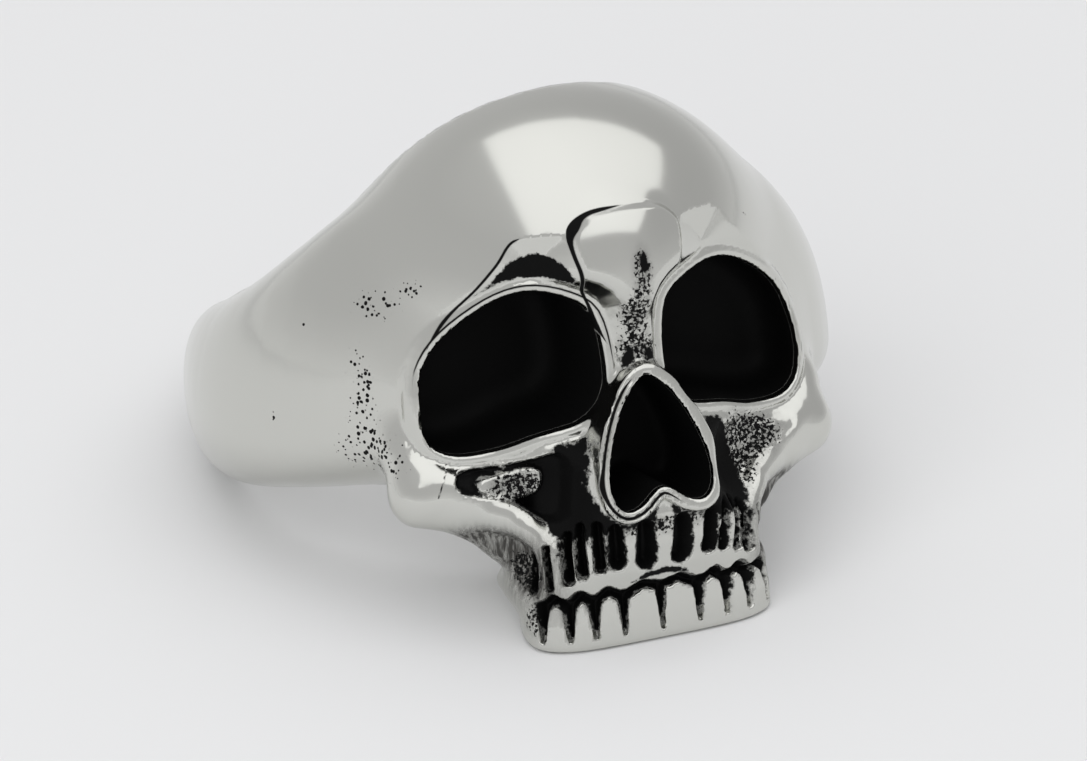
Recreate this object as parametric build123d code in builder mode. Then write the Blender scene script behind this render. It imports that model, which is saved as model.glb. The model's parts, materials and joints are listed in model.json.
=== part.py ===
from build123d import *
import math
import os

os.makedirs("parts", exist_ok=True)

# Cast ring whose front is a skull without a lower jaw. Everything is drawn upright
# round the finger axis (Z), the face looking towards -Y, and leaned back at the end
# so that the ring stands on the sole under its teeth and on the back of its band.

# Sizes in mm
finger_hole_d = 19.8    # inside diameter, a large man's size
head_width = 19.0       # across the cheekbones
head_height = 21.0      # foot of the teeth to crown
face_reach = 17.4       # finger axis to the front of the teeth
band_wall = 1.9         # metal at the back of the band
band_height = 4.6       # band at the back, measured along the finger
lean = 12.5             # how far the ring leans back when it lies on a table, in degrees
socket_floor = 11.8     # finger axis to the floor of the eye sockets
nose_floor = 14.2       # finger axis to the floor of the nose opening
socket_round = 0.038    # rounding of the socket floors, as a share of head_height
rim_wall = 0.55         # raised rims round eyes and nose
line_depth = 0.45       # lines between teeth and roots

bore_r = finger_hole_d / 2
half_w = head_width / 2
overlap = 0.45          # how far parts reach into the finger hole before it is cut

# Band from the back to where it meets the head: turn in degrees, wall as a share of
# band_wall, top, widest and low line as shares of band_height
band_stations = [
    (0, 1.00, 0.42, -0.11, -0.58),
    (36, 1.00, 0.44, -0.11, -0.64),
    (68, 1.05, 0.58, -0.11, -0.88),
    (92, 1.60, 0.79, -0.11, -0.98),
    (116, 2.40, 1.35, -0.08, -0.85),
    (138, 2.85, 2.02, 0.12, -0.72),
    (160, 3.10, 2.44, 0.48, -0.65),
]

# Face and upper jaw in level slices. Height is a share of head_height; half widths at the
# back, at the sides and at the front corners are shares of half_w; depths where the side
# ends, of the corner and of the middle are shares of face_reach
face_slices = [
    (0.300, 0.720, 0.740, 0.34, 0.600, 0.850, 0.930),
    (0.143, 0.860, 0.900, 0.50, 0.650, 0.880, 0.945),
    (0.000, 0.930, 0.960, 0.58, 0.690, 0.890, 0.970),
    (-0.095, 0.880, 0.905, 0.48, 0.720, 0.908, 0.990),
    (-0.190, 0.600, 0.650, 0.38, 0.780, 0.985, 1.030),
    (-0.262, 0.430, 0.568, 0.36, 0.840, 1.010, 1.042),
    (-0.310, 0.380, 0.530, 0.40, 0.915, 0.988, 1.006),
    (-0.360, 0.340, 0.530, 0.41, 0.925, 0.984, 1.002),
    (-0.430, 0.320, 0.530, 0.41, 0.930, 0.983, 1.000),
]

# Cheekbone from the ear side to the corner of the mouth: sideways and radius as shares of
# half_w, depth as a share of face_reach, height as a share of head_height
cheek_stations = [
    (0.860, 0.640, -0.086, 0.180),
    (0.850, 0.790, -0.100, 0.165),
    (0.715, 0.885, -0.143, 0.105),
    (0.595, 0.935, -0.205, 0.075),
    (0.535, 0.955, -0.268, 0.048),
]

# Edge of the eye socket seen from the front: sideways as a share of half_w, height as a
# share of head_height
eye_edge = [
    (0.135, 0.138), (0.168, 0.222), (0.274, 0.260), (0.421, 0.277), (0.568, 0.258),
    (0.736, 0.202), (0.826, 0.138), (0.842, 0.062), (0.810, 0.005), (0.726, -0.019),
    (0.589, -0.017), (0.421, 0.007), (0.242, 0.029), (0.153, 0.071),
]
eye_turn = 20.0         # how far each eye rim faces outwards, in degrees
eye_rim_reach = 0.915   # depth of the rim's plane below the middle of the eye

nose_reach = 1.048      # depth of the nose rim's front at the level of the finger axis
nose_slope = 0.22       # how much its front comes forward for each mm down

# Half of the nose opening from its top round to the middle below
nose_edge = [
    (0.000, 0.104), (0.080, 0.082), (0.147, 0.038), (0.203, -0.022), (0.228, -0.074),
    (0.218, -0.116), (0.171, -0.137), (0.100, -0.130), (0.040, -0.110), (0.000, -0.103),
]


def spot(side, wide, deep, high):
    return Vector(side * wide * half_w, -deep * face_reach, high * head_height)


def front_plane(reach):
    return Plane(origin=(0, -reach, 0), x_dir=(1, 0, 0), z_dir=(0, -1, 0))


def front_point(wide, high):
    return (wide * half_w, high * head_height)


def widened(points, by):
    # Closed outline that runs clockwise, moved outwards
    moved = []
    for i in range(len(points)):
        ax, az = points[i - 1]
        bx, bz = points[(i + 1) % len(points)]
        run = math.hypot(bx - ax, bz - az)
        moved.append((points[i][0] - (bz - az) / run * by, points[i][1] + (bx - ax) / run * by))
    return moved


eye_points = [front_point(wide, high) for wide, high in eye_edge]
nose_right = [front_point(wide, high) for wide, high in nose_edge]
nose_points = nose_right + [(-x, z) for x, z in reversed(nose_right[1:-1])]

# The table touches the back of the band: how deep that lies under the finger axis
back_wall = band_wall + overlap
back_mid = band_stations[0][3] * band_height
back_drop = (band_stations[0][3] - band_stations[0][4]) * band_height
slope = math.radians(lean)
table = (back_mid * math.cos(slope) - (bore_r - overlap) * math.sin(slope)
         - math.hypot(back_wall * math.sin(slope), back_drop * math.cos(slope)))

# Band, one smooth run through the stations of both sides
both_sides = [(-turn, *rest) for turn, *rest in reversed(band_stations[1:])] + band_stations
with BuildPart() as band:
    for turn, wall, top, widest, low in both_sides:
        out = Vector(math.sin(math.radians(turn)), math.cos(math.radians(turn)), 0)
        inner = bore_r - overlap
        thick = wall * band_wall + overlap
        mid = widest * band_height
        with BuildSketch(Plane(origin=(0, 0, 0), x_dir=out, z_dir=out.cross(Vector(0, 0, 1)))):
            with BuildLine():
                EllipticalCenterArc((inner, mid), thick, top * band_height - mid,
                                    start_angle=0, arc_size=90)
                Line((inner, top * band_height), (inner, low * band_height))
                EllipticalCenterArc((inner, mid), thick, mid - low * band_height,
                                    start_angle=270, arc_size=90)
            make_face()
    loft()

with BuildPart() as cranium:
    Sphere(half_w * 0.945)
    scale(by=(1, 0.87, 0.81))

with BuildPart() as face:
    for high, back_wide, wide, front_wide, side_end, corner, middle in face_slices:
        w = wide * half_w
        k = front_wide * half_w
        y_side = -side_end * face_reach
        y_corner = -corner * face_reach
        y_back = -(bore_r - overlap)
        turn_x = k + (w - k) * math.sin(math.pi / 4)
        turn_y = y_side + (y_corner - y_side) * math.sin(math.pi / 4)
        with BuildSketch(Plane.XY.offset(high * head_height)):
            with BuildLine():
                Line((-back_wide * half_w, y_back), (back_wide * half_w, y_back))
                Line((back_wide * half_w, y_back), (w, y_side))
                ThreePointArc((w, y_side), (turn_x, turn_y), (k, y_corner))
                ThreePointArc((k, y_corner), (0, -middle * face_reach), (-k, y_corner))
                ThreePointArc((-k, y_corner), (-turn_x, turn_y), (-w, y_side))
                Line((-w, y_side), (-back_wide * half_w, y_back))
            make_face()
    loft(ruled=True)

# Cheekbone of one side, its outer end rounded
with BuildPart() as cheekbone:
    knots = [spot(1, wide, deep, high) for wide, deep, high, radius in cheek_stations]
    for i in range(len(knots)):
        along = knots[min(i + 1, len(knots) - 1)] - knots[max(i - 1, 0)]
        with BuildSketch(Plane(origin=knots[i], z_dir=along)):
            Circle(cheek_stations[i][3] * half_w)
    loft()

with BuildPart() as cheeks:
    add(cheekbone.part)
    mirror(about=Plane.YZ)

with BuildPart() as glabella:
    Sphere(0.21 * half_w)
    scale(by=(1.0, 0.8, 1.2))

# Raised rim round one eye, its front flat and turned outwards
with BuildPart() as rim:
    with BuildSketch(front_plane(face_reach * 1.2)):
        with BuildLine():
            Spline(widened(eye_points, rim_wall), periodic=True)
        make_face()
    extrude(amount=-(face_reach * 1.2 - socket_floor + 0.9))
    turned = Plane(origin=spot(1, 0.48, eye_rim_reach, 0.115),
                   z_dir=Vector(math.sin(math.radians(eye_turn)), -math.cos(math.radians(eye_turn)), 0))
    split(bisect_by=turned, keep=Keep.BOTTOM)

with BuildPart() as sockets:
    for side in (1, -1):
        with BuildSketch(front_plane(face_reach * 1.2)):
            with BuildLine():
                Spline([(side * x, z) for x, z in eye_points], periodic=True)
            make_face()
        extrude(amount=-(face_reach * 1.2 - socket_floor))
    fillet(sockets.edges().sort_by(Axis.Y)[-2:], radius=socket_round * head_height)

with BuildPart() as rims:
    add(rim.part)
    mirror(about=Plane.YZ)

# The nose stands forward at its foot
with BuildPart() as nose_rim:
    with BuildSketch(front_plane(face_reach * 1.2)):
        with BuildLine():
            Spline(widened(nose_points, rim_wall), periodic=True)
        make_face()
    extrude(amount=-(face_reach * 1.2 - nose_floor + 0.7))
    split(bisect_by=Plane(origin=(0, -face_reach * nose_reach, 0), z_dir=(0, -1, nose_slope)), keep=Keep.BOTTOM)

with BuildPart() as nose_hole:
    with BuildSketch(front_plane(face_reach * 1.2)):
        with BuildLine():
            Spline(nose_right, tangents=[(1, -0.35), (-1, 0.25)])
            Spline([(-x, z) for x, z in nose_right], tangents=[(-1, -0.35), (1, 0.25)])
        make_face()
    extrude(amount=-(face_reach * 1.2 - nose_floor))

# Furrow over one eye
with BuildPart() as furrow:
    with BuildLine() as furrow_path:
        ThreePointArc(spot(1, 0.20, 0.995, 0.335), spot(1, 0.47, 0.955, 0.340), spot(1, 0.80, 0.850, 0.240))
    with BuildSketch(Plane(origin=furrow_path.line @ 0, z_dir=furrow_path.line % 0)):
        Circle(0.085 * half_w)
    sweep()

with BuildPart() as furrows:
    add(furrow.part)
    mirror(about=Plane.YZ)

with BuildPart() as nose_root:
    Sphere(0.21 * half_w)
    scale(by=(1.0, 1.6, 0.95))

# Tooth gaps of one side: sideways as a share of half_w, depth as a share of face_reach,
# top as a share of head_height, and the turn of the tooth row there in degrees
tooth_gaps = [
    (0.000, 1.000, -0.315, 0), (0.170, 0.998, -0.312, 3),
    (0.312, 0.989, -0.308, 9), (0.425, 0.978, -0.312, 32),
]

# Wavy gum line of one side, its points over the gaps and the teeth: sideways, height, and
# depth of the line's floor from this point to the next
gum_line = [
    (0.000, -0.318, 0.985), (0.085, -0.294, 0.985), (0.170, -0.314, 0.982), (0.241, -0.292, 0.979),
    (0.312, -0.310, 0.972), (0.368, -0.294, 0.958), (0.425, -0.314, 0.935), (0.468, -0.308, 0.935),
]

# Grooves between the roots of one side: foot, top and depth of the floor, in the same shares
root_grooves = [
    (0.078, -0.262, 0.080, -0.208, 1.010), (0.150, -0.256, 0.156, -0.192, 1.005),
    (0.222, -0.254, 0.232, -0.182, 0.998), (0.295, -0.256, 0.306, -0.178, 0.990),
    (0.368, -0.264, 0.372, -0.184, 0.972), (0.440, -0.276, 0.440, -0.200, 0.945),
]

with BuildPart() as side_lines:
    for wide, deep, top, turn in tooth_gaps:
        foot = head_height * 0.46
        height = foot + top * head_height
        centre = spot(1, wide, deep, 0) + Vector(0, 0, top * head_height - height / 2)
        with Locations(Location(tuple(centre), (0, 0, 45 + turn))):
            Box(line_depth * 1.1, line_depth * 1.1, height)
    for wide, low, wide_top, top, floor in root_grooves:
        foot_point = Vector(front_point(wide, low))
        top_point = Vector(front_point(wide_top, top))
        with BuildSketch(front_plane(floor * face_reach)):
            SlotCenterPoint((foot_point + top_point) / 2, top_point, line_depth)
        extrude(amount=4 * line_depth)
    for (wide, high, floor), (wide_next, high_next, floor_next) in zip(gum_line, gum_line[1:]):
        start = Vector(front_point(wide, high))
        end = Vector(front_point(wide_next, high_next))
        with BuildSketch(front_plane(floor * face_reach)):
            SlotCenterPoint((start + end) / 2, end, 0.6 * line_depth)
        extrude(amount=4 * line_depth)

with BuildPart() as lined_face:
    add(face.part)
    with Locations(Location((0, 0, 0), (lean, 0, 0)) * Location((0, 0, table))):
        Box(6 * head_width, 6 * head_width, head_height,
            align=(Align.CENTER, Align.CENTER, Align.MAX), mode=Mode.SUBTRACT)
    add(side_lines.part, mode=Mode.SUBTRACT)
    mirror(side_lines.part, about=Plane.YZ, mode=Mode.SUBTRACT)

with BuildPart() as upright:
    with Locations(spot(1, 0, 0.546, 0.245)):
        add(cranium.part)
    add(lined_face.part)
    add(cheeks.part)
    with Locations(spot(1, 0, 0.935, 0.305)):
        add(glabella.part)
    add(furrows.part, mode=Mode.SUBTRACT)
    with Locations(spot(1, 0, 1.150, 0.155)):
        add(nose_root.part, mode=Mode.SUBTRACT)
    add(rims.part)
    add(nose_rim.part)
    add(band.part)
    Cylinder(bore_r, 4 * head_height, mode=Mode.SUBTRACT)
    add(nose_hole.part, mode=Mode.SUBTRACT)
    add(sockets.part, mode=Mode.SUBTRACT)

with BuildPart() as leaned:
    with Locations(Location((0, 0, -table), (-lean, 0, 0))):
        add(upright.part)

# The middle of the ring's length comes over the origin, its lowest point on the table
box = leaned.part.bounding_box()
with BuildPart() as skull_ring:
    with Locations((0, -box.center().Y, -box.min.Z)):
        add(leaned.part)

skull_ring.part.label = "skull_ring"
export_step(skull_ring.part, "parts/skull_ring.step")
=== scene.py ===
import json
import math

import bpy
import numpy as np
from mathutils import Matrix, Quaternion, Vector


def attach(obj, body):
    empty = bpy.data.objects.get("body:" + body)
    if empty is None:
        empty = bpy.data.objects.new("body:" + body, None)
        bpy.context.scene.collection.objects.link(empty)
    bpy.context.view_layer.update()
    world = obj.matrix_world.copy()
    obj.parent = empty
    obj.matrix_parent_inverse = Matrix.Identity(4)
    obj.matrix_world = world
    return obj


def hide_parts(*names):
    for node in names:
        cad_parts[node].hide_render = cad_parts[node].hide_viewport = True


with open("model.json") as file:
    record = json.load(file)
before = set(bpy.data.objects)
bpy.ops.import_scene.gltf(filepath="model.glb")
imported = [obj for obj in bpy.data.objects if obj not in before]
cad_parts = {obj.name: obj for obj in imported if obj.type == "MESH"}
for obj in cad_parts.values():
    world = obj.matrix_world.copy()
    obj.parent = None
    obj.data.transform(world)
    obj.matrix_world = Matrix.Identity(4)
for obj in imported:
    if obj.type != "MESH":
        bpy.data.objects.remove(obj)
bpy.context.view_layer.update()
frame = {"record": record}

# The ring is sculpted as a distance field in its own upright frame, in mm: x to the
# viewer's right, f forward from the finger axis to the face, z up along the finger.
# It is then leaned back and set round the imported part's finger hole.
MM = 0.001
HOLE = next(m for m in frame["record"]["mounts"] if m["name"] == "finger_hole")
BORE_R = HOLE["dims"]["r_mm"]
BORE_EDGE = 0.55                    # how widely the hole's edge is rounded
HOLE_MID = -0.35                    # height of the mount's point in the upright frame
AXIS = Vector(HOLE["axis"]).normalized()
ORIGIN = Vector(HOLE["pos_m"]) - AXIS * HOLE_MID * MM
LEAN = math.atan2(AXIS.y, AXIS.z)
SOLE_UP = 0.04                      # clearance of the sole over the table

# Spacing of the mesh's points over the teeth, the face and the band
SPACING = (0.12, 0.16, 0.34)

# Band from the back (0) to the brow (180): turn in degrees, wall, top, widest and low line
BAND = np.array([
    (0, 1.85, 1.85, -0.50, -2.60),
    (36, 1.80, 1.80, -0.50, -2.75),
    (55, 1.75, 1.82, -0.50, -3.25),
    (68, 1.82, 2.30, -0.50, -3.80),
    (80, 2.22, 3.10, -0.50, -4.05),
    (92, 2.75, 3.72, -0.50, -4.05),
    (104, 3.55, 4.66, -0.45, -3.80),
    (116, 4.35, 6.05, -0.37, -3.40),
    (127, 4.95, 7.55, 0.00, -3.10),
    (139, 5.30, 9.05, 0.60, -2.85),
    (152, 5.75, 10.65, 1.50, -2.70),
    (165, 6.15, 11.65, 2.20, -2.70),
    (180, 6.30, 12.00, 2.40, -2.70),
])

# Rounded forms: middle, reach along x, f and z, and power (2 is an ellipsoid, more is boxier)
CROWN = ((0, 9.6, 4.9), (8.2, 8.0, 7.6), 2.05)
FACE = ((0, 9.2, 1.3), (9.3, 7.1, 5.3), 2.4)
MAXILLA = ((0, 12.6, -3.2), (4.9, 5.2, 3.6), 2.4)
CHEEK_FLOOR = ((5.3, 12.6, -1.5), (3.3, 3.0, 1.7), 2.8)
GLABELLA = ((0, 15.5, 6.0), (2.6, 2.2, 3.4), 2.2)
# Hollows, in the same columns
NOSE_ROOT = ((0, 20.4, 3.6), (2.6, 3.2, 1.9), 2.0)
CHEEK_HOLLOW = ((4.1, 18.9, -1.9), (1.6, 2.9, 2.2), 2.0)
JAW_POCKET = ((8.75, 14.2, -6.5), (3.3, 5.0, 2.9), 2.0)

# Upper jaw: height, how far forward, half width
JAW = np.array([
    (-8.6, 17.45, 5.95), (-7.4, 17.50, 5.90), (-6.5, 17.52, 5.50), (-5.5, 18.02, 4.75),
    (-4.5, 18.35, 4.42), (-3.2, 18.50, 4.35), (-1.5, 18.15, 4.30), (0.5, 17.40, 4.20),
])
JAW_MID = 12.6
# It narrows backwards: how far forward, share of its half width at the foot and at the waist
JAW_TAPER = np.array([
    (9.0, 0.46, 0.56), (11.0, 0.53, 0.74), (12.0, 0.60, 0.84), (13.0, 0.71, 0.98),
    (14.2, 0.81, 1.05), (15.5, 0.90, 1.05), (16.6, 0.97, 1.01), (17.2, 1.0, 1.0),
])
JAW_FOOT, JAW_WAIST = -7.6, -6.0    # heights between which the two taper columns are mixed

# Cheekbone from the ear side to the corner of the mouth: x, f, z and radius
CHEEK = [
    (7.9, 10.8, -0.5, 1.00), (8.25, 12.8, -0.6, 1.05), (8.1, 13.5, -2.05, 1.30),
    (6.75, 14.45, -2.45, 0.95), (5.7, 15.3, -2.80, 0.66), (4.8, 16.2, -3.45, 0.42),
    (4.25, 16.8, -4.4, 0.34), (4.1, 17.0, -5.6, 0.26),
]
# Web under the cheekbone, down to the side of the jaw, in the same columns
WEB = [(7.0, 13.6, -3.0, 0.82), (5.45, 14.3, -4.25, 0.79), (4.2, 14.5, -5.3, 0.66)]

# Outlines seen from the front, as x and z: edge of the eye, and half of the nose opening
EYE = [
    (1.28, 2.9), (1.6, 4.7), (2.6, 5.5), (4.0, 5.85), (5.4, 5.45), (7.0, 4.25), (7.85, 2.9),
    (8.1, 1.3), (7.95, 0.15), (7.1, -0.45), (5.6, -0.4), (4.0, 0.08), (2.3, 0.5), (1.45, 1.45),
]
NOSE_HALF = [
    (0.0, 2.2), (0.7, 1.75), (1.35, 0.85), (1.9, -0.4), (2.17, -1.5), (2.1, -2.4),
    (1.65, -2.88), (1.0, -2.75), (0.4, -2.3), (0.0, -2.15),
]
EYE_FLOOR, NOSE_FLOOR = 11.4, 14.2  # how far forward the sockets' floors lie
EYE_RIM_OUT, EYE_RIM_R = 0.24, 0.28  # raised rim: how far outside the edge, and its radius
NOSE_RIM_W = 0.47

# Channel over the eye, up to its crease with the forehead
CHANNEL = [
    (8.3, 1.6), (8.1, 2.5), (7.95, 3.1), (7.6, 3.9), (7.15, 4.65), (6.6, 5.3), (6.05, 5.9),
    (5.5, 6.55), (4.95, 7.2), (4.45, 7.85), (3.9, 8.08), (3.0, 8.15), (2.45, 7.95), (2.3, 7.3),
    (2.15, 6.6), (1.95, 5.8), (1.62, 4.87), (2.4, 3.8), (4.5, 3.2), (6.8, 1.8),
]
# Shield between the brows, right half from the top
SHIELD_HALF = [
    (0.0, 8.92), (0.9, 8.87), (1.5, 8.74), (1.95, 8.47), (2.32, 8.02), (2.32, 7.4), (2.18, 6.7),
    (1.98, 5.85), (1.62, 4.87), (1.16, 3.54), (0.6, 3.1), (0.0, 3.0),
]
SHIELD_UP = 0.22
# Painted dark reflection in the channel over the eye on the viewer's left
PAINTED_REFLECTION_PATCH = [
    (5.75, 5.75), (5.0, 6.75), (4.4, 7.22), (3.7, 7.38), (3.1, 7.28), (2.6, 6.85), (2.35, 6.4),
    (2.3, 5.9), (2.6, 5.8), (3.7, 6.1), (4.8, 5.9),
]

# Hollow under the eye and the island in it
PIT = [
    (7.45, -1.70), (7.25, -1.10), (6.5, -0.95), (5.5, -0.90), (4.4, -0.78), (3.4, -0.5),
    (3.0, -1.3), (3.3, -3.1), (4.25, -3.35), (4.9, -2.80), (5.7, -2.35), (6.7, -2.1),
]
ISLAND = [
    (6.45, -1.75), (6.3, -1.48), (5.6, -1.38), (4.6, -1.28), (4.15, -1.42), (4.15, -1.8),
    (4.4, -2.15), (5.2, -2.28), (5.9, -2.05),
]
PIT_DEEP = 0.30
# Blackened part of the upper jaw
FOSSA = [
    (0.2, 3.3), (0.9, 2.9), (1.3, 1.6), (1.9, 0.4), (3.4, -0.1), (3.9, -0.9), (4.1, -2.0),
    (4.35, -3.1), (4.25, -3.9), (4.3, -4.5), (3.6, -4.2), (2.0, -3.8), (0.4, -3.5), (0.2, -3.0),
]
# Painted dark reflection line down the knob of the cheekbone, on the viewer's left
KNOB_REFLECTION_LINE = [(7.43, -0.75), (7.53, -0.94), (7.76, -1.25), (7.95, -1.61), (8.10, -1.95)]
# Crescent over the two middle teeth
CRESCENT = [
    (-1.45, -6.05), (-0.8, -5.68), (0.0, -5.52), (0.7, -5.66), (1.3, -6.0), (0.7, -5.92),
    (0.0, -5.84), (-0.8, -5.96),
]

# Tooth row: turn round the jaw's middle is measured as a length u at this radius
ROW_R = 5.2
ROW_MID = 12.5
TOOTH_GAPS = [(0.0, 17.35), (1.62, 17.4), (2.93, 17.5), (3.96, 17.3), (4.84, 16.7)]
GAP_TOP, GAP_FOOT = -6.5, -8.15
GAP_STEP = 0.04                     # how much shorter each gap is than the last, at both ends
GUM_HALF = 0.17
# Roots: x, f and z of each groove's foot, half width, and height of its top
ROOT_GROOVES = [
    (0.75, 18.0, -5.50, 0.42, -3.7), (2.07, 18.3, -5.30, 0.31, -3.6), (2.80, 18.2, -5.35, 0.20, -3.4),
    (3.50, 17.9, -5.50, 0.17, -3.5), (3.98, 17.6, -5.70, 0.15, -3.8), (4.42, 16.9, -5.95, 0.13, -4.2),
    (4.62, 16.0, -6.15, 0.12, -4.6),
]
LINE_DEEP, ROOT_DEEP = 0.42, 0.55
OUTSIDE = -9                        # a field's value where it doesn't reach

# Worn areas, and painted shade under the cheekbones: middle, reach along x, f and z, and how thick
MOTTLED = [
    ((0.15, 17.6, 6.6), (0.42, 1.5, 0.9), 1.1), ((-0.15, 17.4, 4.8), (0.85, 1.5, 1.2), 0.95),
    ((0.0, 17.2, 3.2), (1.1, 1.2, 0.6), 0.95),
    ((-5.2, 15.6, -1.8), (1.2, 1.5, 0.7), 1.0), ((-4.2, 16.0, -2.5), (0.8, 1.5, 0.9), 1.0),
    ((5.5, 15.6, -1.6), (1.3, 1.8, 0.9), 1.0), ((4.4, 16.4, -1.9), (0.8, 1.6, 1.7), 1.1),
    ((-4.9, 16.3, -7.2), (0.5, 0.9, 0.9), 0.9), ((-5.0, 14.5, -4.6), (0.8, 1.8, 1.2), 0.45),
    ((-4.8, 15.8, -5.4), (0.6, 1.2, 0.8), 1.0),
    ((0.0, 18.3, -3.7), (3.0, 1.2, 0.5), 0.9), ((-2.0, 17.6, 3.0), (0.5, 1.0, 1.1), 0.9),
]
PITTED = [
    ((-8.8, 11.9, 5.4), (0.9, 1.3, 0.60), 0.9), ((-7.5, 13.2, 6.1), (0.9, 1.2, 0.45), 0.7),
    ((-9.65, 11.7, 2.3), (0.5, 1.0, 1.60), 0.9), ((-9.6, 12.4, -0.4), (1.3, 2.3, 1.10), 1.0),
    ((-12.1, 8.2, 0.6), (0.2, 0.2, 0.30), 1.0), ((-10.8, 9.3, 4.5), (0.2, 0.3, 0.20), 0.8),
    ((6.1, 14.6, 7.0), (0.3, 0.3, 0.25), 0.8),
]
# Painted shade in the pocket under each cheekbone, on both sides
PAINTED_POCKET_SHADE = [
    ((5.2, 15.2, -4.5), (1.2, 2.4, 0.8), 1.3), ((4.7, 15.9, -5.8), (0.8, 1.6, 0.9), 1.4),
    ((6.5, 14.8, -3.8), (1.2, 1.5, 0.5), 1.3),
]


def smin(a, b, k):
    # Joins two fields, blended over the width k
    h = np.clip(0.5 + 0.5 * (b - a) / k, 0.0, 1.0)
    return b + (a - b) * h - k * h * (1.0 - h)


def smax(a, b, k):
    return -smin(-a, -b, k)


def step(edge0, edge1, v):
    # Smooth run from 0 to 1
    t = np.clip((v - edge0) / (edge1 - edge0), 0.0, 1.0)
    return t * t * (3.0 - 2.0 * t)


def rounded(x, f, z, middle, reach, n):
    # Distance to a rounded form of power n
    qx, qf, qz = [np.abs(a - m) / r for a, m, r in zip((x, f, z), middle, reach)]
    g = (qx ** n + qf ** n + qz ** n + 1e-12) ** (1 / n)
    gx, gf, gz = [(q / g) ** (n - 1) / r for q, r in zip((qx, qf, qz), reach)]
    return (g - 1) / (np.sqrt(gx * gx + gf * gf + gz * gz) + 1e-6)


def capsule(x, f, z, a, b, ra, rb):
    ab = np.array(b, float) - np.array(a, float)
    h = ((x - a[0]) * ab[0] + (f - a[1]) * ab[1] + (z - a[2]) * ab[2]) / (ab @ ab)
    h = np.clip(h, 0.0, 1.0)
    dx, df, dz = x - a[0] - h * ab[0], f - a[1] - h * ab[1], z - a[2] - h * ab[2]
    return np.sqrt(dx * dx + df * df + dz * dz) - (ra + h * (rb - ra))


def chain(x, f, z, stations, k=0.4):
    # Round bar through stations of x, f, z and radius
    d = None
    for a, b in zip(stations[:-1], stations[1:]):
        link = capsule(x, f, z, a[:3], b[:3], a[3], b[3])
        d = link if d is None else smin(d, link, k)
    return d


def both_sides(half):
    return half + [(-x, z) for x, z in reversed(half[1:-1])]


def round_loop(pts, per):
    # Closed smooth curve through the points, with so many steps from each to the next
    pts = np.asarray(pts, float)
    n = len(pts)
    out = []
    for i in range(n):
        p0, p1, p2, p3 = pts[i - 1], pts[i], pts[(i + 1) % n], pts[(i + 2) % n]
        for k in range(per):
            t = k / per
            out.append(0.5 * ((2 * p1) + (-p0 + p2) * t + (2 * p0 - 5 * p1 + 4 * p2 - p3) * t * t
                              + (-p0 + 3 * p1 - 3 * p2 + p3) * t ** 3))
    return np.array(out)


def loop_distance(u, v, pts):
    # Signed distance to a closed outline, negative inside
    d = np.full(u.shape, 1e9)
    s = np.ones(u.shape)
    for i in range(len(pts)):
        a, b = pts[i], pts[i - 1]
        e = b - a
        wu, wv = u - a[0], v - a[1]
        h = np.clip((wu * e[0] + wv * e[1]) / (e @ e), 0, 1)
        du, dv = wu - e[0] * h, wv - e[1] * h
        d = np.minimum(d, du * du + dv * dv)
        above, under = v >= a[1], v < b[1]
        left = e[0] * wv > e[1] * wu
        flip = (above & under & left) | (~above & ~under & ~left)
        s = np.where(flip, -s, s)
    return s * np.sqrt(d)


def line_distance(u, v, pts):
    # Distance to an open line of straight runs
    d = np.full(u.shape, 1e9)
    for a, b in zip(pts[:-1], pts[1:]):
        e0, e1 = b[0] - a[0], b[1] - a[1]
        h = np.clip(((u - a[0]) * e0 + (v - a[1]) * e1) / (e0 * e0 + e1 * e1), 0, 1)
        d = np.minimum(d, np.hypot(u - a[0] - e0 * h, v - a[1] - e1 * h))
    return d


EYE_LOOP = round_loop(EYE, 4)
NOSE_LOOP = round_loop(both_sides(NOSE_HALF), 3)
CHANNEL_LOOP = round_loop(CHANNEL, 3)
SHIELD_LOOP = round_loop(both_sides(SHIELD_HALF), 3)
PAINTED_REFLECTION_LOOP = round_loop(PAINTED_REFLECTION_PATCH, 3)
PIT_LOOP = round_loop(PIT, 2)
ISLAND_LOOP = round_loop(ISLAND, 2)
FOSSA_LOOP = np.array(FOSSA)
CRESCENT_LOOP = np.array(CRESCENT)


def row_u(x, f):
    return ROW_R * np.arctan2(np.abs(x), f - ROW_MID)


GAP_U = [float(row_u(x, f)) for x, f in TOOTH_GAPS]


def gum_line():
    # Over the gaps the line dips, over each tooth it rises to a pointed arch
    pts = [(GAP_U[0], -6.40)]
    for i, (a, b) in enumerate(zip(GAP_U[:-1], GAP_U[1:])):
        pts.append(((a + b) / 2, -6.18 - 0.03 * i))
        pts.append((b, -6.62 - 0.03 * i))
    return pts


GUM = gum_line()


def band(x, f, z):
    # Its section is a superellipse, with the table's lengths averaged over a few degrees
    turn = np.degrees(np.arctan2(np.abs(x), -f))
    wall, top, widest, low = [
        sum(np.interp(np.clip(turn + s, 0, 180), BAND[:, 0], BAND[:, k]) for s in (-6, 0, 6)) / 3
        for k in (1, 2, 3, 4)]
    half = np.where(z > widest, top - widest, widest - low)
    n = 2.2
    q1, q2 = np.abs(np.hypot(x, f) - BORE_R) / wall, np.abs(z - widest) / half
    g = (q1 ** n + q2 ** n + 1e-12) ** (1 / n)
    g1, g2 = (q1 / g) ** (n - 1) / wall, (q2 / g) ** (n - 1) / half
    return (g - 1) / (np.sqrt(g1 * g1 + g2 * g2) + 1e-6) * 0.9


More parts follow.
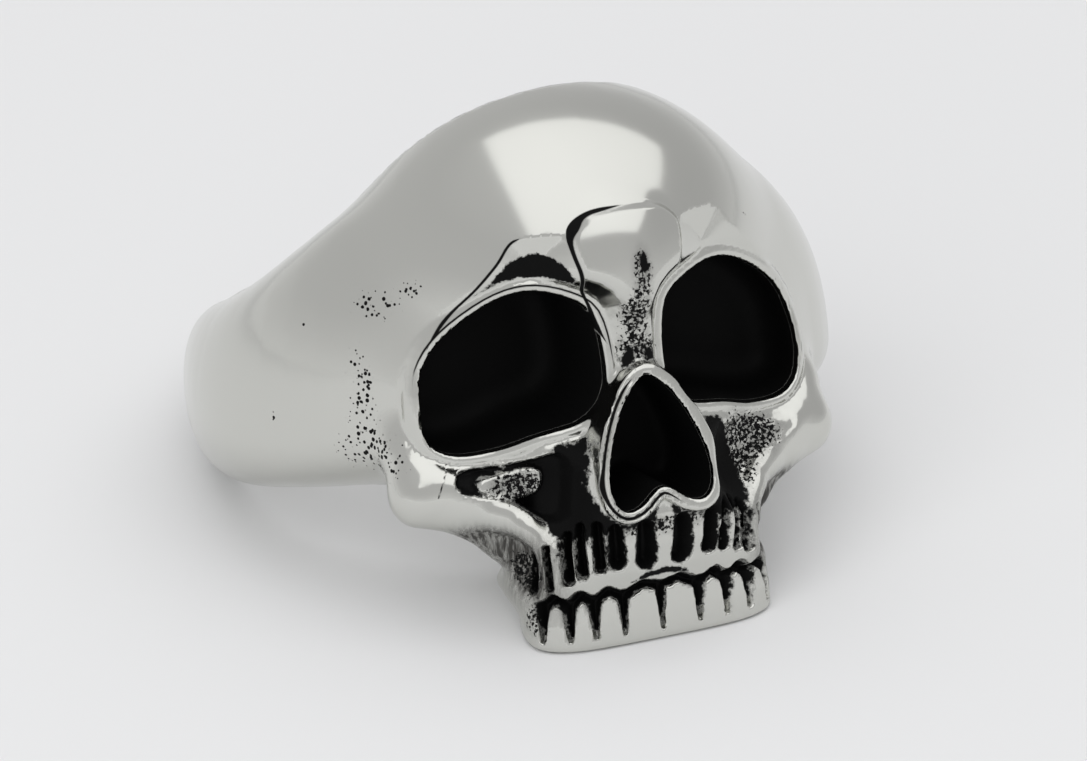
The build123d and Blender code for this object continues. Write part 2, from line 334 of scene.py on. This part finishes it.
def jaw(ax, f, z):
    front = np.interp(z, JAW[:, 0], JAW[:, 1])
    foot, waist = (np.interp(f, JAW_TAPER[:, 0], JAW_TAPER[:, k]) for k in (1, 2))
    up = step(JAW_FOOT, JAW_WAIST, z)
    half = np.interp(z, JAW[:, 0], JAW[:, 2]) * (foot + (waist - foot) * up)
    n = 4.2
    side, deep = np.abs(ax / half), np.abs((f - JAW_MID) / (front - JAW_MID))
    q = (side ** n + deep ** n + 1e-9) ** (1 / n) - 1
    return smax(q * 4.2, z, 0.5)


def head(x, f, z):
    ax = np.abs(x)
    d = rounded(x, f, z, *CROWN)
    d = smin(d, rounded(x, f, z, *FACE), 1.0)
    d = smin(d, jaw(ax, f, z), 1.0)
    d = smin(d, rounded(x, f, z, *MAXILLA), 0.8)
    d = smin(d, chain(ax, f, z, WEB), 0.9)
    return smin(d, chain(ax, f, z, CHEEK, 0.5), 1.0)


def row_lines(u, z):
    # Each line of the tooth row: distance from it, half width, depth and softness of its edge
    yield line_distance(u, z, GUM), GUM_HALF, LINE_DEEP, 0.10
    for i, g in enumerate(GAP_U):
        top, foot = GAP_TOP - GAP_STEP * i, GAP_FOOT + GAP_STEP * i
        down = np.clip((top - z) / (top - foot), 0, 1)
        half = 0.22 * (1 - down) ** 1.2 + 0.025
        yield np.hypot(u - g, z - np.clip(z, foot, top)), half, LINE_DEEP, 0.09
    for x0, f0, foot, half, top in ROOT_GROOVES:
        g = float(row_u(x0, f0))
        low = foot + half
        up = np.clip((z - low) / (top - low), 0, 1)
        yield np.hypot(u - g, z - np.clip(z, low, top)), half * (1 - 0.25 * up), ROOT_DEEP, 0.10


def row_carving(x, f, z):
    # Depth of the lines between teeth, gum and roots, and how far inside them a point is
    near = (f > 14.0) & (z < -2.5)
    deep = np.zeros(x.shape)
    inside = np.full(x.shape, float(OUTSIDE))
    for dist, half, depth, soft in row_lines(row_u(x, f), z):
        within = half - dist
        deep = np.maximum(deep, step(-soft, half * 0.9, within) * depth)
        inside = np.maximum(inside, within)
    return np.where(near, deep, 0.0), np.where(near, inside, OUTSIDE)


def eye_front(ax, z):
    # How far forward the eye's rim lies, raised at its outer corner
    outer = step(5.5, 8.0, ax) * (1 - step(0.8, 3.2, z))
    return 16.6 - 0.047 * ax ** 2 - 0.08 * np.abs(z - 2) + 0.45 * outer


def nose_front(z):
    return 18.2 - 0.2 * z


def channel_depth(ax, z):
    # Falls from the crease towards the eye's rim
    within = np.maximum(-loop_distance(ax, z, CHANNEL_LOOP), 0)
    most = 1.3
    return most * np.tanh(within * 0.60 / most)


def brow(x, f, z, to_eye, d):
    # Shield between the brows, the channels on both sides of it, and the bank down to each eye
    ax = np.abs(x)
    within = -loop_distance(x, z, SHIELD_LOOP)
    raised = SHIELD_UP * step(-0.02, 0.22, within) * step(3.0, 4.2, z)
    d = smin(d, rounded(x, f, z, *GLABELLA), 0.5)
    d = np.where(f > 12.0, d - raised + channel_depth(ax, z) * 0.85, d)
    bank = (f - eye_front(ax, z) - 0.15 - 1.7 * np.maximum(to_eye - 0.35, 0)) * 0.5
    return np.where(to_eye < 2.2, smax(d, bank, 0.35), d)


def nose_left(x, z):
    # 1 on the viewer's left of the nose rim, 0 on the right
    return 1 - step(-0.6, 0.5, x + 0.25 * (z + 1.0))


def nose_groove(x, z, to_nose):
    # Between the two lips of the nose rim, which become one on the viewer's right
    return 0.14 * step(0.13, 0.02, np.abs(to_nose - 0.25)) * nose_left(x, z)


def pit_depth(x, f, z):
    # The hollow under the eye, deeper on the viewer's left, with a raised island
    ax = np.abs(x)
    within = np.minimum(-loop_distance(ax, z, PIT_LOOP), loop_distance(ax, z, ISLAND_LOOP))
    left = 1 - 0.75 * step(-1.0, 1.0, x)
    return np.where(f > 12.0, PIT_DEEP * step(0.0, 0.30, within) * left, 0.0)


def skull(x, f, z):
    # Forms are joined first, then rims, then hollows, lines, sockets and the finger hole
    ax = np.abs(x)
    to_eye = loop_distance(ax, z, EYE_LOOP)
    to_nose = loop_distance(x, z, NOSE_LOOP)
    d = smin(head(x, f, z), band(x, f, z), 1.0)
    d = smin(d, rounded(ax, f, z, *CHEEK_FLOOR), 0.5)
    d = brow(x, f, z, to_eye, d)
    d = smax(d, -rounded(x, f, z, *NOSE_ROOT), 0.6)
    eye_rim = np.hypot(to_eye - EYE_RIM_OUT, (f - eye_front(ax, z)) * 0.8) - EYE_RIM_R
    d = smin(d, eye_rim, 0.15)
    nose_rim = smax(to_nose - NOSE_RIM_W, f - nose_front(z) + nose_groove(x, z, to_nose), 0.22)
    nose_rim = smax(nose_rim, 13 - f, 0.3)
    d = smin(d, nose_rim, 0.25)
    d = smax(d, -rounded(ax, f, z, *CHEEK_HOLLOW), 0.5)
    d = d + pit_depth(x, f, z)
    d = smax(d, -rounded(ax, f, z, *JAW_POCKET), 0.5)
    d = d + row_carving(x, f, z)[0]
    over_table = f * math.sin(LEAN) + z * math.cos(LEAN) + ORIGIN.z / MM
    d = smax(d, SOLE_UP - over_table, 0.25)
    d = smax(d, -smax(to_eye, EYE_FLOOR - f, 1.2), 0.12)
    d = smax(d, -smax(to_nose, NOSE_FLOOR - f, 0.5), 0.10)
    return smax(d, BORE_R - np.hypot(x, f), BORE_EDGE)


def black_field(x, f, z):
    # Above zero where the recesses keep their black, and on the painted dark reflection over the eye on
    # the viewer's left
    ax = np.abs(x)
    to_eye = loop_distance(ax, z, EYE_LOOP)
    to_nose = loop_distance(x, z, NOSE_LOOP)
    eye = np.minimum(0.15 - to_eye, eye_front(ax, z) - 0.12 - f)
    nose = np.minimum(0.15 - to_nose, nose_front(z) - 0.3 - f)
    sockets = np.where(f > BORE_R + 1.0, np.maximum(eye, nose), OUTSIDE)
    out = np.maximum(1.8 * sockets, row_carving(x, f, z)[1] + 0.05)
    fossa = -loop_distance(ax, z, FOSSA_LOOP) * (1 - 0.65 * step(-3.2, -4.0, z))
    fossa = np.minimum(np.minimum(fossa, to_nose - 0.50), to_eye - 0.52)
    out = np.maximum(out, np.where(f > 14.0, 0.55 * fossa, OUTSIDE))
    # Painted dark reflection over the eye on the viewer's left; the moat round the pit's island is
    # patina
    lens = np.minimum(-loop_distance(-x, z, PAINTED_REFLECTION_LOOP), to_eye - 0.62)
    moat = np.minimum(-loop_distance(ax, z, PIT_LOOP) - 0.05, loop_distance(ax, z, ISLAND_LOOP) - 0.08)
    out = np.maximum(out, np.where((f > 13.0) & (x < 0), np.maximum(lens, 0.7 * moat), OUTSIDE))
    crescent = -loop_distance(x, z, CRESCENT_LOOP)
    brow_mark = 0.26 - np.hypot((x - 0.22) / 0.8, (z - 6.75) / 1.6)
    return np.maximum(out, np.where(f > 14.0, np.maximum(crescent, brow_mark), OUTSIDE))


def edge_lines(x, f, z):
    # Signed distances to the fine dark lines and their half widths: painted dark reflection lines along
    # the eye rim and the crease, and a blackened line in the nose rim's groove
    ax = np.abs(x)
    to_eye = loop_distance(ax, z, EYE_LOOP)
    to_nose = loop_distance(x, z, NOSE_LOOP)
    dist = np.stack([to_eye - 0.30, to_nose - 0.25, loop_distance(ax, z, CHANNEL_LOOP)], 1)
    left = 1 - step(-1.0, 1.0, x)
    eye_half = 0.035 * step(2.0, 4.0, z) * left
    nose_half = 0.06 * nose_left(x, z)
    top = step(2.3, 2.7, ax) * (1 - step(3.9, 4.4, ax)) * step(7.2, 7.6, z)
    seen = np.where(to_eye > 0.3, 1, 0) * left * step(1.6, 2.6, z) * (1 - top)
    crease_half = 0.05 * seen * step(2.7, 3.3, ax)
    half = np.stack([eye_half, nose_half, crease_half], 1) * (f > 12.5)[:, None]
    return np.clip(dist, -1, 1), half


def shield_line(x, f, z):
    # The same for the painted dark reflection lines along the shield, heavy at its top left, and down
    # the cheek knob. The third part is unused
    left = 1 - step(-1.2, 0.2, x)
    heavy = 0.10 * np.exp(-((x + 2.1) / 0.45) ** 2 - ((z - 8.25) / 0.45) ** 2)
    half = (0.06 * step(3.3, 4.2, z) + heavy) * left * (f > 12.5)
    half = np.where((z < 0) & (f > 13.5), 0.03, half)
    dist = np.where(z < 0, line_distance(-x, z, KNOB_REFLECTION_LINE), loop_distance(x, z, SHIELD_LOOP))
    return np.stack([np.clip(dist, -1, 1), half, 0 * x], 1)


def worn_and_shaded_areas(x, f, z):
    # How thickly mottled patina, pitting and painted shade under the cheekbones lie, each from 0 to 1
    def blob(middle, reach, thick):
        return thick * np.exp(-sum(((a - m) / r) ** 2 for a, m, r in zip((x, f, z), middle, reach)))

    mottled = sum(blob(*area) for area in MOTTLED)
    pitted = sum(blob(*area) for area in PITTED)
    painted_shade = sum(blob((side * m[0], m[1], m[2]), r, t) for m, r, t in PAINTED_POCKET_SHADE for side in (-1, 1))
    return np.clip(np.stack([mottled, pitted, painted_shade], 1), 0, 1)


def grid_lines(low, high, spans):
    # Spacing is the finest of the spans that hold a point
    lines = [low]
    while lines[-1] < high:
        at = lines[-1]
        lines.append(at + min(s for a, b, s in spans if a <= at < b))
    return np.array(lines)


def near_blocks(fn, axes, block):
    # A coarse grid's values, and the points of the blocks that the surface may cross
    coarse = [np.unique(np.append(np.arange(0, len(a), block), len(a) - 1)) for a in axes]
    mesh = np.meshgrid(*(a[i] for a, i in zip(axes, coarse)), indexing="ij")
    far = fn(*(m.ravel() for m in mesh)).reshape(mesh[0].shape)
    near = np.zeros([len(a) for a in axes], bool)
    for at in np.ndindex(*(len(i) - 1 for i in coarse)):
        ends = [(i[n], i[n + 1]) for i, n in zip(coarse, at)]
        across = math.dist([a[e[0]] for a, e in zip(axes, ends)], [a[e[1]] for a, e in zip(axes, ends)])
        corner = far[tuple(slice(n, n + 2) for n in at)]
        if np.abs(corner).min() < across * 0.8 or corner.min() < 0 < corner.max():
            near[tuple(slice(e[0], e[1] + 1) for e in ends)] = True
    nearest = [np.searchsorted(i, np.arange(len(a))).clip(0, len(i) - 1) for a, i in zip(axes, coarse)]
    return far[np.ix_(*nearest)], near


def grid_values(fn, axes, block=8, chunk=300000):
    # The field on the grid, read only near the surface
    values, near = near_blocks(fn, axes, block)
    at = np.nonzero(near)
    for start in range(0, len(at[0]), chunk):
        part = tuple(i[start:start + chunk] for i in at)
        values[part] = fn(*(a[i] for a, i in zip(axes, part)))
    return values


def cell_points(values, axes):
    # The cells that the surface crosses, and in each the mean of the crossings of its edges
    corners = list(np.ndindex(2, 2, 2))
    inside = (values < 0).astype(np.int8)
    count = sum(inside[tuple(slice(c, c - 1 or None) for c in corner)] for corner in corners)
    cells = np.nonzero((count > 0) & (count < 8))
    total, crossings = np.zeros((len(cells[0]), 3)), np.zeros(len(cells[0]))
    for low in corners:
        for high in corners:
            if high <= low or sum(abs(p - q) for p, q in zip(low, high)) != 1:
                continue
            at_low, at_high = (tuple(c + o for c, o in zip(cells, end)) for end in (low, high))
            v_low, v_high = values[at_low], values[at_high]
            cross = (v_low < 0) != (v_high < 0)
            t = np.where(cross, v_low / np.where(v_low == v_high, 1, v_low - v_high), 0)
            p_low, p_high = (np.stack([a[i] for a, i in zip(axes, at)], 1) for at in (at_low, at_high))
            total += (p_low + (p_high - p_low) * t[:, None]) * cross[:, None]
            crossings += cross
    return cells, total / crossings[:, None]


def edge_quads(inside, index, axis):
    # A quad round each crossed grid edge along one axis, turned to face outwards
    first = inside[tuple(slice(0, -1) if n == axis else slice(None) for n in range(3))]
    second = inside[tuple(slice(1, None) if n == axis else slice(None) for n in range(3))]
    edges = np.nonzero(first != second)
    other = [n for n in range(3) if n != axis]
    ok = np.all([(edges[n] > 0) & (edges[n] < index.shape[n]) for n in other], axis=0)
    edges = [e[ok] for e in edges]
    flip = first[tuple(edges)] ^ (axis == 1)
    quad = []
    for back in ((1, 1), (0, 1), (0, 0), (1, 0)):
        cell = list(edges)
        for n, b in zip(other, back):
            cell[n] = edges[n] - b
        quad.append(index[tuple(cell)])
    quad = np.stack(quad, 1)
    return np.where(flip[:, None], quad[:, ::-1], quad)


def surface_nets(fn, axes):
    # Points on the zero level of fn, and the quads between them
    values = grid_values(fn, axes)
    cells, verts = cell_points(values, axes)
    index = np.full([len(a) - 1 for a in axes], -1, np.int64)
    index[cells] = np.arange(len(verts))
    return verts, np.concatenate([edge_quads(values < 0, index, axis) for axis in range(3)])


def slope_of(fn, v, h=0.02):
    # The field's value and slope, from four points round each
    slope = np.zeros_like(v)
    value = 0
    for e in np.array([(1, -1, -1), (-1, -1, 1), (-1, 1, -1), (1, 1, 1)], float):
        there = fn(*(v + e * h).T)
        slope += e[None, :] * there[:, None]
        value = value + there
    return value / 4, slope / (4 * h)


def settle(fn, v, steps=2, most=0.06):
    # Moves points onto the surface and gives their normals
    for _ in range(steps):
        value, slope = slope_of(fn, v)
        move = slope * (value / np.maximum((slope * slope).sum(1), 0.05))[:, None]
        far = np.sqrt((move ** 2).sum(1))
        v = v - move * np.minimum(1, most / np.maximum(far, 1e-9))[:, None]
    slope = slope_of(fn, v)[1]
    return v, slope / (np.sqrt((slope * slope).sum(1)) + 1e-9)[:, None]


def to_row(v):
    # Upright frame to the row frame, turned only
    x, y, z = v[:, 0], -v[:, 1], v[:, 2]
    c, s = math.cos(LEAN), math.sin(LEAN)
    return np.stack([x, y * c + z * s, -y * s + z * c], 1)


def ring_grid():
    teeth, face, plain = SPACING
    everywhere = (-99, 99, plain)
    xs = grid_lines(-14.2, 14.2, [everywhere, (-8.9, 8.9, face), (-5.2, 5.2, teeth)])
    fs = grid_lines(-12.4, 20.2, [everywhere, (10.5, 99, face)])
    zs = grid_lines(-9.4, 13.4, [everywhere, (-9.4, 8.6, face), (-8.8, -3.2, teeth)])
    return xs, fs, zs


def store(mesh, name, kind, key, values):
    mesh.attributes.new(name, kind, "POINT").data.foreach_set(key, values.ravel().astype(np.float32))


def store_patina_and_painted_light(mesh, v):
    # Fields that the metal's nodes read at each point: patina and wear, painted shade and painted dark
    # reflections
    store(mesh, "black", "FLOAT", "value", np.clip(black_field(*v.T), -2, 2))
    line_dist, line_half = edge_lines(*v.T)
    fields = {"line_dist": line_dist, "line_half": line_half,
              "shield_line": shield_line(*v.T), "worn_and_shade": worn_and_shaded_areas(*v.T)}
    for name, values in fields.items():
        store(mesh, name, "FLOAT_VECTOR", "vector", values)


def make_ring():
    v, quads = surface_nets(skull, ring_grid())
    v, n = settle(skull, v)
    row, row_n = to_row(v) * MM + np.array(ORIGIN), to_row(n)
    mesh = bpy.data.meshes.new("skull_ring_cast")
    mesh.from_pydata(row.tolist(), [], quads.tolist())
    mesh.shade_smooth()
    mesh.normals_split_custom_set_from_vertices(row_n.tolist())
    store_patina_and_painted_light(mesh, v)
    piece = bpy.data.objects.new("skull_ring_cast", mesh)
    bpy.context.scene.collection.objects.link(piece)
    print("ring triangles", 2 * len(quads))
    return piece


class Graph:
    # A material's nodes, each made by one call
    def __init__(self, name):
        self.material = bpy.data.materials.new(name)
        self.material.use_nodes = True
        self.nodes, self.links = self.material.node_tree.nodes, self.material.node_tree.links
        self.bsdf = self.nodes["Principled BSDF"]
        self.place = None

    def feed(self, socket, value):
        if isinstance(value, bpy.types.NodeSocket):
            self.links.new(value, socket)
        else:
            socket.default_value = value

    def feed_all(self, node, values):
        for name, value in values.items():
            self.feed(node.inputs[name], value)

    def math(self, operation, *values):
        node = self.nodes.new("ShaderNodeMath")
        node.operation = operation
        for socket, value in zip(node.inputs, values):
            self.feed(socket, value)
        return node.outputs[0]

    def ramp(self, value, low, high, to_low=0.0, to_high=1.0):
        node = self.nodes.new("ShaderNodeMapRange")
        node.interpolation_type = "SMOOTHSTEP"
        self.feed_all(node, {"Value": value, "From Min": low, "From Max": high,
                             "To Min": to_low, "To Max": to_high})
        return node.outputs["Result"]

    def mix(self, factor, a, b):
        node = self.nodes.new("ShaderNodeMix")
        node.data_type = "RGBA"
        self.feed_all(node, {"Factor": factor, "A": a, "B": b})
        return node.outputs["Result"]

    def attribute(self, name):
        node = self.nodes.new("ShaderNodeAttribute")
        node.attribute_name = name
        return node

    def parts(self, name):
        node = self.nodes.new("ShaderNodeSeparateXYZ")
        self.links.new(self.attribute(name).outputs["Vector"], node.inputs[0])
        return [node.outputs[k] for k in ("X", "Y", "Z")]

    def coords(self, stretch=(1, 1, 1)):
        if self.place is None:
            self.place = self.nodes.new("ShaderNodeTexCoord").outputs["Object"]
        if stretch == (1, 1, 1):
            return self.place
        node = self.nodes.new("ShaderNodeMapping")
        self.feed_all(node, {"Vector": self.place, "Scale": stretch})
        return node.outputs["Vector"]

    def cells(self, scale):
        # Distance to the nearest of many scattered points, in cells
        node = self.nodes.new("ShaderNodeTexVoronoi")
        self.feed_all(node, {"Vector": self.coords(), "Scale": scale})
        return node.outputs["Distance"]

    def noise(self, scale, detail=3.0, rough=0.5, stretch=(1, 1, 1)):
        node = self.nodes.new("ShaderNodeTexNoise")
        self.feed_all(node, {"Vector": self.coords(stretch), "Scale": scale,
                             "Detail": detail, "Roughness": rough})
        return node.outputs["Fac"]


POLISHED = (0.63, 0.632, 0.597, 1)
BLACKENED = (0.003, 0.003, 0.003, 1)
# Tone of the painted shade under the cheekbones and of the haze under the patina
SHADE_AND_HAZE_TONE = (0.06, 0.058, 0.054, 1)
FLOOR_TONE = (0.775, 0.777, 0.781, 1)


def patina_and_painted_reflection(g):
    # The black field with a ragged edge: patina in the recesses, and the painted dark reflection over
    # the eye
    ragged = g.math("MULTIPLY_ADD", g.noise(3400, 5, 0.66), 0.34, -0.17)
    return g.ramp(g.math("ADD", g.attribute("black").outputs["Fac"], ragged), -0.03, 0.05)


def fine_lines(g, black):
    # Dark lines: painted dark reflection lines along the eye rim, the crease, the shield and the cheek
    # knob, and a blackened line in the nose rim's groove
    shield, shield_half = g.parts("shield_line")[:2]
    for dist, half in zip(g.parts("line_dist") + [shield], g.parts("line_half") + [shield_half]):
        off = g.math("SUBTRACT", g.math("ABSOLUTE", dist), half)
        line = g.math("MULTIPLY", g.ramp(off, 0.025, -0.015), g.ramp(half, 0.0, 0.02))
        black = g.math("MAXIMUM", black, line)
    return black


def blotches(g, mottled):
    # Patina where the worn area lets the noise through
    mark = g.math("SUBTRACT", g.noise(7200, 4, 0.62), g.ramp(mottled, 0.03, 0.9, 0.82, 0.45))
    return g.ramp(mark, -0.03, 0.045)


def pits(g, pitted):
    # Small and apart from each other
    uneven = g.ramp(g.noise(1900), 0.36, 0.56, 0.30, 1.0)
    size = g.math("MULTIPLY", g.ramp(pitted, 0.04, 0.8, 0.0, 0.52), uneven)
    return g.ramp(g.math("SUBTRACT", size, g.cells(5000)), 0.0, 0.10)


def shade_and_haze_of(g, mottled, painted_shade):
    # Painted shade under the cheekbones, streaked like brushing, and a haze under the patina
    brushed = g.ramp(g.noise(1400, 3, 0.6, (4.0, 4.0, 0.5)), 0.35, 0.6, 0.55, 1.0)
    clouds = g.ramp(g.noise(2600), 0.38, 0.6, 0.3, 1.0)
    haze = g.math("MULTIPLY", g.ramp(mottled, 0.15, 1.0, 0.0, 0.5), clouds)
    return g.math("MAXIMUM", g.math("MULTIPLY", painted_shade, brushed), haze)


def metal():
    g = Graph("polished_metal")
    mottled, pitted, painted_shade = g.parts("worn_and_shade")
    # Black holds the patina and the painted dark reflections
    black = fine_lines(g, patina_and_painted_reflection(g))
    black = g.math("MAXIMUM", black, blotches(g, mottled))
    black = g.math("MAXIMUM", black, pits(g, pitted))
    # Painted shade under the cheekbones and the haze under the patina, mixed in as a dark dull tone
    shade_and_haze = shade_and_haze_of(g, mottled, painted_shade)
    dull = g.math("MAXIMUM", black, g.math("MULTIPLY", shade_and_haze, 0.6))
    g.feed_all(g.bsdf, {
        "Base Color": g.mix(black, g.mix(shade_and_haze, POLISHED, SHADE_AND_HAZE_TONE), BLACKENED),
        "Roughness": g.ramp(dull, 0.0, 1.0, 0.15, 0.6),
        "Metallic": g.ramp(dull, 0.0, 0.9, 1.0, 0.0),
        "Specular IOR Level": 0.08,
    })
    return g.material


def paper():
    g = Graph("pale_floor")
    g.feed_all(g.bsdf, {"Base Color": FLOOR_TONE, "Roughness": 0.9, "Specular IOR Level": 0.2})
    return g.material


def make_floor(half=1.5):
    mesh = bpy.data.meshes.new("floor")
    corners = [(-half, -half, 0), (half, -half, 0), (half, half, 0), (-half, half, 0)]
    mesh.from_pydata(corners, [], [(0, 1, 2, 3)])
    floor = bpy.data.objects.new("floor", mesh)
    floor.data.materials.append(paper())
    bpy.context.scene.collection.objects.link(floor)


def aim(obj, at):
    obj.rotation_mode = "QUATERNION"
    obj.rotation_quaternion = (Vector(at) - obj.location).to_track_quat("-Z", "Y")


def panel(name, place, size, power):
    light = bpy.data.lights.new(name, "AREA")
    light.shape = "RECTANGLE"
    light.size, light.size_y = size
    light.energy = power
    obj = bpy.data.objects.new(name, light)
    obj.location = place
    bpy.context.scene.collection.objects.link(obj)
    return obj


def make_lights():
    # A softbox that looks straight down, and a fill light that the metal doesn't mirror
    overhead = panel("overhead", place=(0.105, -0.084, 0.42), size=(0.61, 0.74), power=0.87)
    overhead.rotation_euler = (0, 0, math.radians(-15))
    fill = panel("fill", place=(-0.45, -0.45, 0.35), size=(0.7, 0.7), power=2.7)
    fill.visible_glossy = False
    aim(fill, ORIGIN)


# Walls of the studio from straight down (0) over the horizon (0.5) to straight up (1): grey
WALLS = ((0.0, 0.80), (0.50, 0.80), (0.56, 0.70), (0.64, 0.62), (0.80, 0.60), (1.0, 0.66))
# They darken towards the viewer's right
RIGHT_SIDE = {"From Min": 0.1, "From Max": 0.9, "To Min": 1.0, "To Max": 0.86}


def make_world():
    world = bpy.data.worlds.new("studio")
    world.use_nodes = True
    nodes, links = world.node_tree.nodes, world.node_tree.links
    background = nodes["Background"]
    coords = nodes.new("ShaderNodeTexCoord")
    split = nodes.new("ShaderNodeSeparateXYZ")
    links.new(coords.outputs["Generated"], split.inputs["Vector"])
    up = nodes.new("ShaderNodeMapRange")
    up.inputs["From Min"].default_value = -1
    links.new(split.outputs["Z"], up.inputs["Value"])
    ramp = nodes.new("ShaderNodeValToRGB")
    links.new(up.outputs["Result"], ramp.inputs["Fac"])
    while len(ramp.color_ramp.elements) < len(WALLS):
        ramp.color_ramp.elements.new(0.5)
    for element, (at, grey) in zip(ramp.color_ramp.elements, WALLS):
        element.position = at
        element.color = (grey, grey, grey * 1.01, 1)
    side = nodes.new("ShaderNodeMapRange")
    for name, value in RIGHT_SIDE.items():
        side.inputs[name].default_value = value
    links.new(split.outputs["X"], side.inputs["Value"])
    links.new(side.outputs["Result"], background.inputs["Strength"])
    links.new(ramp.outputs["Color"], background.inputs["Color"])
    bpy.context.scene.world = world


# Camera: turned to the viewer's left, looking down at the finger axis's middle
IMAGE_W, IMAGE_H = 1087, 761
VIEW_TURN, VIEW_DOWN, VIEW_ROLL = math.radians(23.6), math.radians(25.96), math.radians(0.22)
VIEW_FAR = 0.400
PX_PER_MM = 24.5
TARGET_PX = (474, 339.5)


def make_camera():
    cam = bpy.data.cameras.new("camera")
    obj = bpy.data.objects.new("camera", cam)
    bpy.context.scene.collection.objects.link(obj)
    bpy.context.scene.camera = obj
    level = math.cos(VIEW_DOWN)
    away = Vector((-math.sin(VIEW_TURN) * level, -math.cos(VIEW_TURN) * level, math.sin(VIEW_DOWN)))
    obj.location = ORIGIN + away * VIEW_FAR
    aim(obj, ORIGIN)
    obj.rotation_quaternion = obj.rotation_quaternion @ Quaternion((0, 0, 1), VIEW_ROLL)
    cam.sensor_width = 36
    cam.lens = cam.sensor_width * VIEW_FAR / MM * PX_PER_MM / IMAGE_W
    cam.shift_x = (IMAGE_W / 2 - TARGET_PX[0]) / IMAGE_W
    cam.shift_y = (TARGET_PX[1] - IMAGE_H / 2) / IMAGE_W
    cam.clip_start, cam.clip_end = 0.01, 10


ring = make_ring()
ring.data.materials.append(metal())
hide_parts("skull_ring")
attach(ring, "root")
make_floor()
make_world()
make_lights()
make_camera()
bpy.context.scene.view_settings.view_transform = "Standard"
